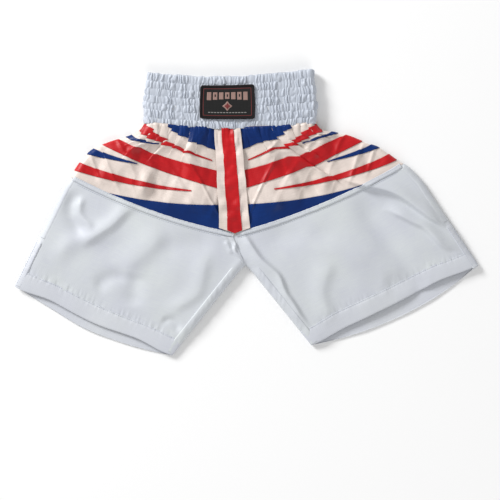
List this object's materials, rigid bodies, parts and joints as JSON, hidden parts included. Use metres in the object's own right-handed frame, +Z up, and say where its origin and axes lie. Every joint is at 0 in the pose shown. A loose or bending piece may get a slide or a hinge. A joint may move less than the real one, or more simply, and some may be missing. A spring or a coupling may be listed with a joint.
{
  "type": "boxing shorts",
  "caption": "Satin boxing shorts laid flat, with a shirred elastic waistband, a flag-pattern yoke, a front patch and wide legs with side slits that fold up.",
  "frame": {"origin": "middle of the bounding box's base, on the surface that the shorts lie on", "axes": "+X towards the wearer's left leg, +Y from the hems towards the waistband, +Z up, out of the garment's front"},
  "size_m": [0.7756, 0.467, 0.0221],
  "materials": {
    "white": "light satin weave, soft sheen",
    "band": "shirred satin waistband and hem cloth",
    "ivory": "warm white satin",
    "red": "red satin",
    "blue": "navy satin",
    "elastic": "woven elastic, matt",
    "patch": "black woven patch cloth, matt",
    "border": "black merrowed edging",
    "label": "plain woven label"
  },
  "bodies": {
    "hips": {"waistband_casing": "band", "waist_elastic_1": "elastic", "waist_elastic_2": "elastic", "waist_elastic_3": "elastic", "waist_elastic_4": "elastic", "waist_elastic_5": "elastic", "waist_elastic_6": "elastic", "front_patch": "patch", "patch_border": "border", "size_label": "label", "centre_strip_white": "ivory", "centre_strip_red": "red", "crotch_gusset": "white", "left_hip_side_strip": "white", "left_front_yoke": "ivory", "left_front_leg_top": "white", "left_back_yoke": "ivory", "left_yoke_seam_tape": "white", "left_blue_upper": "blue", "left_red_ray_upper": "red", "left_blue_side_upper": "blue", "left_red_bar": "red", "left_blue_side_lower": "blue", "left_red_ray_lower": "red", "left_blue_lower": "blue", "right_hip_side_strip": "white", "right_front_yoke": "ivory", "right_front_leg_top": "white", "right_back_yoke": "ivory", "right_yoke_seam_tape": "white", "right_blue_upper": "blue", "right_red_ray_upper": "red", "right_blue_side_upper": "blue", "right_red_bar": "red", "right_blue_side_lower": "blue", "right_red_ray_lower": "red", "right_blue_lower": "blue"},
    "left_leg": {"left_leg_side_strip": "white", "left_inseam_strip": "white", "left_front_leg": "white", "left_front_hem": "band", "left_front_slit_facing": "band", "left_back_leg": "white", "left_back_hem": "band", "left_back_slit_facing": "band"},
    "right_leg": {"right_leg_side_strip": "white", "right_inseam_strip": "white", "right_front_leg": "white", "right_front_hem": "band", "right_front_slit_facing": "band", "right_back_leg": "white", "right_back_hem": "band", "right_back_slit_facing": "band"}
  },
  "joints": [
    {"name": "left_leg_fold", "type": "hinge", "parent": "hips", "child": "left_leg", "pos_m": [-0.00172, -0.08747, 0.016], "axis": [-0.9011, -0.4337, 0], "range_deg": [0, 110]},
    {"name": "right_leg_fold", "type": "hinge", "parent": "hips", "child": "right_leg", "pos_m": [-0.00172, -0.08747, 0.016], "axis": [-0.9143, 0.4051, 0], "range_deg": [0, 110]}
  ]
}
